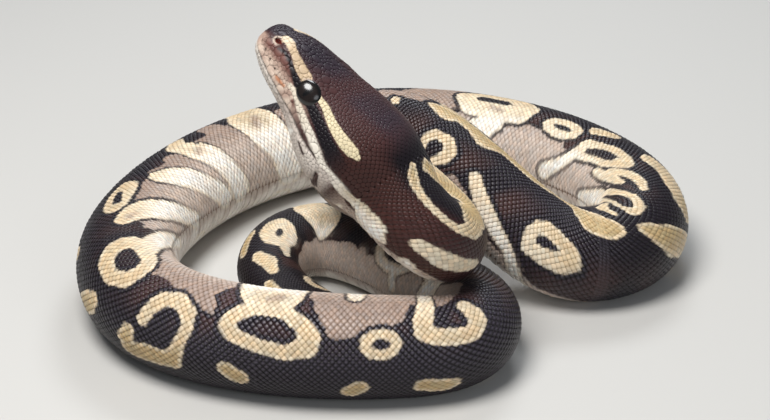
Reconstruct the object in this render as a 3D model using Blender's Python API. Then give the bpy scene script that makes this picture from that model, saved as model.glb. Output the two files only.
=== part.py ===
"""A ball python resting in a loose coil with its head raised, life size.

The body is one long round form that follows a route of named stations, from the tip of
the snout to the tip of the tail. It is cut across into the lengths that a keeper would
name: head, lower jaw, neck, trunk and tail. The eyes sit in sockets of the head.
Lengths are in millimetres up to the last step, which turns them into metres.
"""
import bmesh
import bpy
import math
import numpy as np
from mathutils import Vector

METRES_PER_MM = 0.001
FLOOR = 0.0

# The mesh of each piece.
SECTION_SIDES = 24
RING_STEP = 8.8
BEND_RING_STEP = 4.5
HEAD_RING_STEP = 3.7
CUT_GAP = 0.40
PINCH_LIMIT = 0.93
EASE_PASSES = 60
SAMPLE_STEP = 0.5

# Stations of the centre line, snout to tail: x, y, z, half width, height above the line,
# depth below the line, roll in degrees. The roll leans the back from upright towards the
# side that lies to the right of someone walking from the head to the tail, which is the
# outer side of the coil.
HEAD_STATIONS = (
    (-34.6, 37.5, 97.5, 6.0, 4.2, 4.1, -8.0),
    (-32.2, 36.3, 95.0, 7.8, 5.5, 5.7, -8.0),
    (-29.2, 34.9, 92.1, 10.1, 7.5, 8.0, -8.0),
    (-25.6, 33.2, 88.9, 11.6, 8.6, 8.9, -8.0),
    (-21.2, 30.7, 84.2, 12.9, 9.5, 9.8, -8.0),
    (-17.1, 28.3, 79.2, 14.8, 10.7, 11.2, -8.0),
    (-13.1, 25.8, 73.9, 17.3, 12.5, 13.8, -8.0),
    (-8.6, 23.3, 68.6, 18.6, 13.8, 15.2, -9.0),
)
NECK_STATIONS = (
    (-4.0, 20.8, 63.7, 18.0, 14.4, 15.2, -11.0),
    (0.3, 18.1, 58.9, 15.3, 13.6, 13.6, -13.0),
    (3.4, 15.6, 54.8, 13.5, 12.9, 12.8, -15.0),
    (7.0, 12.8, 50.8, 12.6, 12.6, 12.6, -16.0),
    (12.0, 12.0, 46.0, 12.3, 12.3, 12.3, -4.0),
    (16.1, 14.8, 41.4, 12.1, 12.1, 12.1, 22.0),
    (18.2, 20.8, 37.8, 12.0, 12.0, 12.0, 36.0),
    (18.0, 28.0, 36.7, 12.0, 12.0, 12.0, 26.0),
    (15.1, 34.6, 37.4, 12.1, 12.1, 12.1, 8.0),
    (10.0, 39.8, 39.8, 12.4, 12.4, 12.4, -8.0),
    (2.2, 46.2, 42.2, 12.7, 12.7, 12.7, -8.0),
    (-6.0, 49.6, 43.8, 12.9, 12.9, 12.9, 0.0),
    (-11.4, 56.8, 45.4, 13.1, 13.1, 13.1, 0.0),
    (-11.0, 66.2, 46.4, 13.4, 13.4, 13.4, -5.0),
    (-5.3, 74.2, 46.6, 13.6, 13.6, 13.6, -10.0),
)
TRUNK_STATIONS = (
    (3.6, 77.0, 45.6, 13.8, 13.8, 13.8, -18.0),
    (13.0, 74.4, 42.6, 14.0, 14.0, 14.0, -25.0),
    (22.6, 68.6, 37.2, 14.2, 14.2, 14.2, -28.0),
    (33.5, 62.4, 29.2, 14.4, 14.4, 14.4, -28.0),
    (44.5, 57.5, 21.0, 14.6, 14.6, 14.6, -20.0),
    (55.0, 54.6, 15.8, 14.8, 14.8, 14.8, 5.0),
    (66.0, 55.4, 14.2, 15.0, 15.0, 15.0, 35.0),
    (76.0, 61.2, 14.2, 15.2, 15.2, 15.2, 62.0),
    (81.8, 73.0, 14.3, 15.4, 15.4, 15.4, 78.0),
    (81.0, 90.0, 14.4, 15.5, 15.5, 15.5, 85.0),
    (73.0, 106.0, 14.5, 15.6, 15.6, 15.6, 88.0),
    (59.0, 121.0, 14.6, 15.7, 15.7, 15.7, 88.0),
    (38.0, 133.5, 14.7, 15.8, 15.8, 15.8, 88.0),
    (14.0, 140.0, 14.8, 15.8, 15.8, 15.8, 88.0),
    (-14.0, 138.0, 14.9, 15.8, 15.8, 15.8, 88.0),
    (-39.0, 126.0, 14.9, 15.8, 15.8, 15.8, 90.0),
    (-59.0, 107.0, 14.9, 15.8, 15.8, 15.8, 92.0),
    (-74.0, 81.0, 14.9, 15.8, 15.8, 15.8, 95.0),
    (-80.0, 51.0, 14.9, 15.8, 15.8, 15.8, 98.0),
    (-70.5, 22.5, 14.8, 15.8, 15.8, 15.8, 102.0),
    (-46.0, 6.0, 14.7, 15.7, 15.7, 15.7, 106.0),
    (-16.0, 0.0, 14.6, 15.5, 15.5, 15.5, 108.0),
    (6.0, 0.6, 14.0, 15.0, 15.0, 15.0, 106.0),
    (17.6, 3.0, 13.6, 14.4, 14.4, 14.4, 100.0),
    (24.8, 8.8, 13.1, 13.9, 13.9, 13.9, 92.0),
    (27.6, 17.2, 12.6, 13.4, 13.4, 13.4, 84.0),
    (25.8, 26.2, 12.1, 13.0, 13.0, 13.0, 76.0),
    (19.8, 35.2, 11.7, 12.6, 12.6, 12.6, 70.0),
    (8.0, 50.0, 11.5, 12.4, 12.4, 12.4, 66.0),
    (-6.0, 63.8, 11.3, 12.2, 12.2, 12.2, 64.0),
    (-20.0, 70.6, 11.0, 12.0, 12.0, 12.0, 62.0),
    (-32.0, 65.6, 10.5, 11.4, 11.4, 11.4, 62.0),
)
TAIL_STATIONS = (
    (-36.2, 52.5, 9.6, 10.4, 10.4, 10.4, 60.0),
    (-30.2, 38.8, 8.5, 9.2, 9.2, 9.2, 50.0),
    (-17.5, 29.2, 7.0, 7.5, 7.5, 7.5, 35.0),
    (-5.0, 23.8, 5.4, 5.8, 5.8, 5.8, 20.0),
    (4.5, 20.8, 3.8, 4.1, 4.1, 4.1, 10.0),
    (11.5, 20.6, 2.0, 2.1, 2.1, 2.1, 0.0),
)
STATIONS = HEAD_STATIONS + NECK_STATIONS + TRUNK_STATIONS + TAIL_STATIONS

# The head: distances are measured back from the tip of the snout along the centre line.
SNOUT_ROUNDING = 2.6
SNOUT_FLAT = 0.42
JAW_START = 1.4
HEAD_LENGTH = 48.0
MOUTH_HEIGHTS = (
    (0.0, -1.6), (3.5, -2.5), (10.0, -3.6), (17.5, -4.1), (28.0, -3.7), (39.0, -3.0), (48.0, -2.8),
)
SQUARE_HEAD = 2.5
SQUARE_BODY = 2.0
EYE_BACK = 21.6
EYE_SIDE = 9.9
EYE_UP = 4.5
EYE_RADIUS = 3.6
SOCKET_GAP = 0.25

# Where the lengths of the body end, as distances from the tip of the snout.
NECK_ENDS = (68.0, 90.0, 108.0, 124.0, 146.0, 174.0)
TRUNK_ENDS = (
    202.0, 228.0, 254.0, 284.0, 320.0, 356.0, 392.0, 428.0, 464.0, 500.0, 536.0, 572.0, 606.0,
    628.0, 650.0, 678.0, 708.0, 732.0, 754.0,
)
TAIL_ENDS = (777.0, 801.0)

MATERIALS = {
    "head": ((0.075, 0.045, 0.050), 0.42, 0.0),
    "lower_jaw": ((0.62, 0.56, 0.52), 0.45, 0.0),
    "eye": ((0.004, 0.004, 0.005), 0.06, 0.0),
    "neck": ((0.060, 0.036, 0.036), 0.45, 0.0),
    "trunk": ((0.18, 0.12, 0.085), 0.45, 0.0),
    "tail": ((0.10, 0.07, 0.055), 0.45, 0.0),
}


def natural_spline(points):
    """Samples a natural cubic spline through the stations, about every SAMPLE_STEP."""
    rows = np.array(points, dtype=float)
    chords = np.linalg.norm(np.diff(rows[:, :3], axis=0), axis=1)
    knots = np.concatenate([[0.0], np.cumsum(np.sqrt(chords))])
    spans = np.diff(knots)
    count = len(rows)
    system = np.zeros((count, count))
    target = np.zeros_like(rows)
    system[0, 0] = 1.0
    system[-1, -1] = 1.0
    for i in range(1, count - 1):
        system[i, i - 1] = spans[i - 1]
        system[i, i] = 2.0 * (spans[i - 1] + spans[i])
        system[i, i + 1] = spans[i]
        slopes = (rows[i + 1] - rows[i]) / spans[i] - (rows[i] - rows[i - 1]) / spans[i - 1]
        target[i] = 6.0 * slopes
    bend = np.linalg.solve(system, target)
    times = np.linspace(0.0, knots[-1], int(knots[-1] * 8.0) + 1)
    k = np.clip(np.searchsorted(knots, times, side="right") - 1, 0, count - 2)
    after = (times - knots[k])[:, None]
    before = (knots[k + 1] - times)[:, None]
    span = spans[k][:, None]
    curve = (bend[k] * before ** 3 + bend[k + 1] * after ** 3) / (6.0 * span)
    curve += (rows[k] / span - bend[k] * span / 6.0) * before
    curve += (rows[k + 1] / span - bend[k + 1] * span / 6.0) * after
    return curve


def arc_lengths(curve):
    steps = np.linalg.norm(np.diff(curve[:, :3], axis=0), axis=1)
    return np.concatenate([[0.0], np.cumsum(steps)])


def even_samples(curve, step):
    """Samples the curve again at even distances, with the distance as its parameter."""
    lengths = arc_lengths(curve)
    wanted = np.linspace(0.0, lengths[-1], int(round(lengths[-1] / step)) + 1)
    columns = [np.interp(wanted, lengths, curve[:, i]) for i in range(curve.shape[1])]
    return np.stack(columns, axis=1)


def eased(curve):
    """Evens out the bends, as the muscles of a long body do."""
    for _ in range(EASE_PASSES):
        curve[1:-1] += 0.25 * (curve[:-2] - 2.0 * curve[1:-1] + curve[2:])
    return even_samples(curve, SAMPLE_STEP)


class Body:
    """The centre line with its sizes, and a frame at each distance from the snout."""

    def __init__(self):
        curve = eased(even_samples(natural_spline(STATIONS), SAMPLE_STEP))
        self.distance = arc_lengths(curve)
        self.length = self.distance[-1]
        self.point = curve[:, :3]
        self.sizes = curve[:, 3:6]
        along = np.gradient(self.point, self.distance, axis=0)
        along /= np.linalg.norm(along, axis=1)[:, None]
        self.along = along
        self.bend = np.gradient(along, self.distance, axis=0)
        side = np.cross(along, np.array([0.0, 0.0, 1.0]))
        side /= np.linalg.norm(side, axis=1)[:, None]
        upright = np.cross(side, along)
        roll = np.radians(curve[:, 6])[:, None]
        self.back = np.cos(roll) * upright + np.sin(roll) * side
        self.left = np.cross(along, self.back)

    def at(self, values, distance):
        columns = [np.interp(distance, self.distance, values[:, i]) for i in range(values.shape[1])]
        return np.array(columns)

    def frame(self, distance):
        """Centre, and unit vectors to the animal's left and to its back."""
        centre = self.at(self.point, distance)
        left = self.at(self.left, distance)
        back = self.at(self.back, distance)
        left /= np.linalg.norm(left)
        back -= left * np.dot(left, back)
        back /= np.linalg.norm(back)
        return centre, left, back

    def shape(self, distance):
        """Half width, height and depth of the section, rounded off at both ends."""
        half_width, height, depth = self.at(self.sizes, distance)
        if distance < SNOUT_ROUNDING:
            arch = math.sqrt(1.0 - (1.0 - distance / SNOUT_ROUNDING) ** 2)
            fullness = SNOUT_FLAT + (1.0 - SNOUT_FLAT) * arch
            half_width *= fullness
            height *= fullness
            depth *= fullness
        return half_width, height, depth

    def squareness(self, distance):
        fade = np.clip((distance - HEAD_LENGTH) / 20.0, 0.0, 1.0)
        return SQUARE_HEAD + (SQUARE_BODY - SQUARE_HEAD) * fade

    def place(self, distance, across, up):
        """A point of the section, pinched inside tight bends and laid flat on the floor."""
        centre, left, back = self.frame(distance)
        offset = left * across + back * up
        bend = self.at(self.bend, distance)
        curvature = np.linalg.norm(bend)
        reach = np.dot(offset, bend)
        if reach > PINCH_LIMIT:
            offset -= bend * (reach - PINCH_LIMIT) / curvature ** 2
        point = centre + offset
        point[2] = max(point[2], FLOOR)
        return point

    def outline(self, distance, start=0.0, sweep=2.0 * math.pi, closed=True):
        """Points of a section as (across, up), by angle from the back towards the left."""
        half_width, height, depth = self.shape(distance)
        power = 2.0 / self.squareness(distance)
        steps = SECTION_SIDES if closed else SECTION_SIDES - 1
        points = []
        for k in range(SECTION_SIDES):
            angle = start + sweep * k / steps
            sine = math.sin(angle)
            cosine = math.cos(angle)
            across = half_width * math.copysign(abs(sine) ** power, sine)
            rise = height if cosine > 0.0 else depth
            points.append((across, rise * math.copysign(abs(cosine) ** power, cosine)))
        return points

    def angle_at(self, distance, level):
        """The outline's angle where it crosses a level below the centre line."""
        depth = self.shape(distance)[2]
        power = 2.0 / self.squareness(distance)
        return math.pi - math.acos(min(1.0, (-level / depth) ** (1.0 / power)))


def mouth_height(distance):
    back = [row[0] for row in MOUTH_HEIGHTS]
    up = [row[1] for row in MOUTH_HEIGHTS]
    return float(np.interp(distance, back, up))


def above_mouth(body, distance):
    """The part of a head section above the mouth, closed straight across the mouth."""
    corner = body.angle_at(distance, mouth_height(distance) + CUT_GAP / 2.0)
    return body.outline(distance, -corner, 2.0 * corner, closed=False)


def below_mouth(body, distance):
    corner = body.angle_at(distance, mouth_height(distance) - CUT_GAP / 2.0)
    return body.outline(distance, corner, 2.0 * (math.pi - corner), closed=False)


def whole_section(body, distance):
    return body.outline(distance)


def ring_distances(start, end, step):
    count = max(1, int(math.ceil((end - start) / step)))
    return [start + (end - start) * i / count for i in range(count + 1)]


def lofted_mesh(name, body, distances, section):
    """Joins sections placed along the body into one closed mesh with capped ends."""
    mesh = bpy.data.meshes.new(name)
    form = bmesh.new()
    rings = []
    for distance in distances:
        ring = []
        for across, up in section(body, distance):
            ring.append(form.verts.new(Vector(body.place(distance, across, up))))
        rings.append(ring)
    for ring, following in zip(rings[:-1], rings[1:]):
        for k in range(len(ring)):
            after = (k + 1) % len(ring)
            form.faces.new((ring[k], ring[after], following[after], following[k]))
    form.faces.new(list(reversed(rings[0])))
    form.faces.new(rings[-1])
    bmesh.ops.remove_doubles(form, verts=form.verts, dist=0.02)
    bmesh.ops.dissolve_degenerate(form, edges=form.edges, dist=0.005)
    bmesh.ops.triangulate(form, faces=form.faces)
    bmesh.ops.recalc_face_normals(form, faces=form.faces)
    form.to_mesh(mesh)
    form.free()
    return mesh


def ball_mesh(name, radius):
    mesh = bpy.data.meshes.new(name)
    form = bmesh.new()
    bmesh.ops.create_uvsphere(form, u_segments=18, v_segments=10, radius=radius)
    bmesh.ops.triangulate(form, faces=form.faces)
    form.to_mesh(mesh)
    form.free()
    return mesh


def finish(kind):
    """The material of a kind of piece, made once."""
    name = kind + "_skin"
    if name in bpy.data.materials:
        return bpy.data.materials[name]
    colour, roughness, metallic = MATERIALS[kind]
    material = bpy.data.materials.new(name)
    material.use_nodes = True
    shader = material.node_tree.nodes["Principled BSDF"]
    shader.inputs["Base Color"].default_value = (*colour, 1.0)
    shader.inputs["Roughness"].default_value = roughness
    shader.inputs["Metallic"].default_value = metallic
    material.diffuse_color = (*colour, 1.0)
    return material


def add_piece(name, mesh, kind):
    mesh.materials.append(finish(kind))
    mesh.shade_smooth()
    piece = bpy.data.objects.new(name, mesh)
    bpy.context.scene.collection.objects.link(piece)
    return piece


def eye_centre(body, side):
    """Centre of an eyeball: side is +1 on the animal's left and -1 on its right."""
    centre, left, back = body.frame(EYE_BACK)
    return centre + left * (EYE_SIDE * side) + back * EYE_UP


def add_eye(body, name, side, head):
    """An eyeball, and the socket that its cutter leaves in the head."""
    centre = Vector(eye_centre(body, side))
    eye = add_piece(name, ball_mesh(name, EYE_RADIUS), "eye")
    eye.location = centre
    cutter_mesh = ball_mesh(name + "_socket", EYE_RADIUS + SOCKET_GAP)
    cutter = bpy.data.objects.new(name + "_socket", cutter_mesh)
    bpy.context.scene.collection.objects.link(cutter)
    cutter.location = centre
    cutter.hide_render = True
    cutter.display_type = "WIRE"
    cut = head.modifiers.new(name + "_socket", "BOOLEAN")
    cut.operation = "DIFFERENCE"
    cut.object = cutter
    return eye


def add_head(body):
    half_gap = CUT_GAP / 2.0
    upper = ring_distances(0.0, HEAD_LENGTH - half_gap, HEAD_RING_STEP)
    upper.insert(1, upper[1] * 0.35)
    head = add_piece("head", lofted_mesh("head", body, upper, above_mouth), "head")
    lower = ring_distances(JAW_START, HEAD_LENGTH - half_gap, HEAD_RING_STEP)
    jaw_mesh = lofted_mesh("lower_jaw", body, lower, below_mouth)
    add_piece("lower_jaw", jaw_mesh, "lower_jaw")
    add_eye(body, "eye_left", 1, head)
    add_eye(body, "eye_right", -1, head)


def add_lengths(body, kind, start, ends, step):
    """Cuts a stretch of the body into numbered pieces that end at the given distances."""
    for number, end in enumerate(ends, start=1):
        name = f"{kind}_{number:02d}"
        distances = ring_distances(start + CUT_GAP / 2.0, end - CUT_GAP / 2.0, step)
        add_piece(name, lofted_mesh(name, body, distances, whole_section), kind)
        start = end
    return start


def add_tail(body, start):
    end = add_lengths(body, "tail", start, TAIL_ENDS, BEND_RING_STEP)
    distances = ring_distances(end + CUT_GAP / 2.0, body.length, BEND_RING_STEP)
    add_piece("tail_tip", lofted_mesh("tail_tip", body, distances, whole_section), "tail")


def stand_on_origin(objects):
    """Moves the animal so that the origin is under the middle of its bounding box."""
    bpy.context.view_layer.update()
    corners = [piece.matrix_world @ v.co for piece in objects if piece.display_type != "WIRE"
               for v in piece.data.vertices]
    low = [min(corner[axis] for corner in corners) for axis in range(3)]
    high = [max(corner[axis] for corner in corners) for axis in range(3)]
    middle = Vector(((low[0] + high[0]) / 2.0, (low[1] + high[1]) / 2.0, low[2]))
    for piece in objects:
        place = piece.location.copy()
        for vertex in piece.data.vertices:
            vertex.co = (vertex.co + place - middle) * METRES_PER_MM
        piece.location = (0.0, 0.0, 0.0)


def build():
    for old in list(bpy.data.objects):
        bpy.data.objects.remove(old)
    body = Body()
    add_head(body)
    end_of_neck = add_lengths(body, "neck", HEAD_LENGTH, NECK_ENDS, BEND_RING_STEP)
    end_of_trunk = add_lengths(body, "trunk", end_of_neck, TRUNK_ENDS, RING_STEP)
    add_tail(body, end_of_trunk)
    stand_on_origin(list(bpy.context.scene.objects))


build()
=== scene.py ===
"""The looks of the coiled ball python: skin, scales, head shields, eyes, light and camera.

The body follows the same stations as the solids, in millimetres. A place on the body is a
distance from the tip of the snout and an angle from the back, towards the animal's left.
"""

import bmesh
import bpy
import math
import numpy as np
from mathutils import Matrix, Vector


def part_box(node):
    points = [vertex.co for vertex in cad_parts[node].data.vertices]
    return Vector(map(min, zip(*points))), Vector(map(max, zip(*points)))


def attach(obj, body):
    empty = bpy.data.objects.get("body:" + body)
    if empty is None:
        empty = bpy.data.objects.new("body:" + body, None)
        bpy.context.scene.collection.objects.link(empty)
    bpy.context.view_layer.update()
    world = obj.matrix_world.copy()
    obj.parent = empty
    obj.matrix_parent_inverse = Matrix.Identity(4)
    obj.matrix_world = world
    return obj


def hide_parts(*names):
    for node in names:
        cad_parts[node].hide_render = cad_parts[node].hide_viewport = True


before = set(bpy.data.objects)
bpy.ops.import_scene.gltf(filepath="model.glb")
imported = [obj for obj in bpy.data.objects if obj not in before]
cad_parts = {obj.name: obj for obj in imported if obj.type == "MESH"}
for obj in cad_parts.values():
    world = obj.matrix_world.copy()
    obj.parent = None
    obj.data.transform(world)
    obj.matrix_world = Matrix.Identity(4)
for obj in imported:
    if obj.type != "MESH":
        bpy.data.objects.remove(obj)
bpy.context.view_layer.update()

METRES_PER_MM = 0.001
RANDOM = np.random.default_rng(7)
TINY = 1e-12

# ---------------------------------------------------------------- the body's form
# Stations of the centre line: x, y, z, half width, height, depth, roll in degrees.
HEAD_STATIONS = (
    (-34.6, 37.5, 97.5, 6, 4.2, 4.1, -8), (-32.2, 36.3, 95, 7.8, 5.5, 5.7, -8),
    (-29.2, 34.9, 92.1, 10.1, 7.5, 8, -8), (-25.6, 33.2, 88.9, 11.6, 8.6, 8.9, -8),
    (-21.2, 30.7, 84.2, 12.9, 9.5, 9.8, -8), (-17.1, 28.3, 79.2, 14.8, 10.7, 11.2, -8),
    (-13.1, 25.8, 73.9, 17.3, 12.5, 13.8, -8), (-8.6, 23.3, 68.6, 18.6, 13.8, 15.2, -9),
)
NECK_STATIONS = (
    (-4, 20.8, 63.7, 18, 14.4, 15.2, -11), (0.3, 18.1, 58.9, 15.3, 13.6, 13.6, -13),
    (3.4, 15.6, 54.8, 13.5, 12.9, 12.8, -15),
)
# From here on a section is round: x, y, z, radius, roll in degrees.
ROUND_STATIONS = (
    (7, 12.8, 50.8, 12.6, -16), (12, 12, 46, 12.3, -4), (16.1, 14.8, 41.4, 12.1, 22),
    (18.2, 20.8, 37.8, 12, 36), (18, 28, 36.7, 12, 26), (15.1, 34.6, 37.4, 12.1, 8),
    (10, 39.8, 39.8, 12.4, -8), (2.2, 46.2, 42.2, 12.7, -8), (-6, 49.6, 43.8, 12.9, 0),
    (-11.4, 56.8, 45.4, 13.1, 0), (-11, 66.2, 46.4, 13.4, -5), (-5.3, 74.2, 46.6, 13.6, -10),
    (3.6, 77, 45.6, 13.8, -18), (13, 74.4, 42.6, 14, -25), (22.6, 68.6, 37.2, 14.2, -28),
    (33.5, 62.4, 29.2, 14.4, -28), (44.5, 57.5, 21, 14.6, -20), (55, 54.6, 15.8, 14.8, 5),
    (66, 55.4, 14.2, 15, 35), (76, 61.2, 14.2, 15.2, 62), (81.8, 73, 14.3, 15.4, 78),
    (81, 90, 14.4, 15.5, 85), (73, 106, 14.5, 15.6, 88), (59, 121, 14.6, 15.7, 88),
    (38, 133.5, 14.7, 15.8, 88), (14, 140, 14.8, 15.8, 88), (-14, 138, 14.9, 15.8, 88),
    (-39, 126, 14.9, 15.8, 90), (-59, 107, 14.9, 15.8, 92), (-74, 81, 14.9, 15.8, 95),
    (-80, 51, 14.9, 15.8, 98), (-70.5, 22.5, 14.8, 15.8, 102), (-46, 6, 14.7, 15.7, 106),
    (-16, 0, 14.6, 15.5, 108), (6, 0.6, 14, 15, 106), (17.6, 3, 13.6, 14.4, 100),
    (24.8, 8.8, 13.1, 13.9, 92), (27.6, 17.2, 12.6, 13.4, 84), (25.8, 26.2, 12.1, 13, 76),
    (19.8, 35.2, 11.7, 12.6, 70), (8, 50, 11.5, 12.4, 66), (-6, 63.8, 11.3, 12.2, 64),
    (-20, 70.6, 11, 12, 62), (-32, 65.6, 10.5, 11.4, 62), (-36.2, 52.5, 9.6, 10.4, 60),
    (-30.2, 38.8, 8.5, 9.2, 50), (-17.5, 29.2, 7, 7.5, 35), (-5, 23.8, 5.4, 5.8, 20),
    (4.5, 20.8, 3.8, 4.1, 10), (11.5, 20.6, 2, 2.1, 0),
)
SAMPLE_STEP = 0.5
SAMPLES_PER_KNOT = 8
EASE_PASSES = 60
PINCH_LIMIT = 0.93
SNOUT_ROUNDING = 2.6
SNOUT_POWER = 2.5
SNOUT_POLE = -3.7
HEAD_LENGTH = 48
SQUARE_HEAD = 2.5
SQUARE_BODY = 2
SQUARE_FADE = 20
SLOPE_STEP = 0.05
FLOOR_GAP = 0.00002
# The line of the mouth: distance, height over the centre line.
MOUTH_HEIGHTS = (
    (0, -1.6), (3.5, -2.5), (10, -3.6), (17.5, -4.1), (28, -3.7), (39, -3), (48, -2.8),
)
EYE_BACK = 21.6
EYE_SIDE = 9.9
EYE_UP = 4.5
VENT = 754
# Degrees by which the animal lies rolled over in its coils: distance, turn of its back.
TWISTS = (
    (0, 0), (232, 0), (256, -10), (280, -28), (310, -38), (400, -42), (455, -45), (485, -38),
    (510, -26), (535, -13), (562, -2), (575, 0), (660, 0), (690, -28), (745, -30), (790, 0),
    (900, 0),
)


def clamp(value):
    return np.clip(value, 0, 1)


def smooth(value, low, high):
    """0 at low and 1 at high, with an easy start and end."""
    share = clamp((value - low) / (high - low))
    return share * share * (3 - 2 * share)


def wrapped(angle):
    """An angle in degrees brought to between -180 and 180."""
    return (angle + 180) % 360 - 180


def lookup(table, distance):
    """The second column of a table at each distance."""
    knots, values = np.transpose(table)
    return np.interp(distance, knots, values)


def twist(distance):
    """How far, in degrees, the animal's own back lies from angle zero."""
    return lookup(TWISTS, distance)


def unit(vectors):
    return vectors / np.maximum(np.linalg.norm(vectors, axis=-1, keepdims=True), TINY)


def dot(a, b):
    return np.sum(a * b, axis=-1)


def signed_power(value, power):
    return np.sign(value) * np.abs(value) ** power


def circle(count, start=0):
    """Even turns once round, in radians."""
    return 2 * math.pi * (np.arange(count) + start) / count


def sampled(values, knots, wanted):
    """Rows of values at the wanted knots, by straight interpolation."""
    return np.stack([np.interp(wanted, knots, column) for column in values.T], axis=-1)


def natural_spline(rows):
    """Samples a natural cubic spline through the stations, finely."""
    chords = np.linalg.norm(np.diff(rows[:, :3], axis=0), axis=1)
    knots = np.concatenate([[0], np.cumsum(np.sqrt(chords))])
    spans = np.diff(knots)
    count = len(rows)
    system = np.eye(count)
    target = np.zeros_like(rows)
    for i in range(1, count - 1):
        before, after = spans[i - 1], spans[i]
        system[i, i - 1:i + 2] = before, 2 * (before + after), after
        target[i] = 6 * ((rows[i + 1] - rows[i]) / after - (rows[i] - rows[i - 1]) / before)
    bend = np.linalg.solve(system, target)
    times = np.linspace(0, knots[-1], int(knots[-1] * SAMPLES_PER_KNOT) + 1)
    k = np.clip(np.searchsorted(knots, times, side="right") - 1, 0, count - 2)
    after = (times - knots[k])[:, None]
    before = (knots[k + 1] - times)[:, None]
    span = spans[k][:, None]
    curve = (bend[k] * before ** 3 + bend[k + 1] * after ** 3) / (6 * span)
    curve += (rows[k] / span - bend[k] * span / 6) * before
    curve += (rows[k + 1] / span - bend[k + 1] * span / 6) * after
    return curve


def arc_lengths(curve):
    steps = np.linalg.norm(np.diff(curve[:, :3], axis=0), axis=1)
    return np.concatenate([[0], np.cumsum(steps)])


def even_samples(curve):
    lengths = arc_lengths(curve)
    count = int(round(lengths[-1] / SAMPLE_STEP)) + 1
    return sampled(curve, lengths, np.linspace(0, lengths[-1], count))


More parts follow.
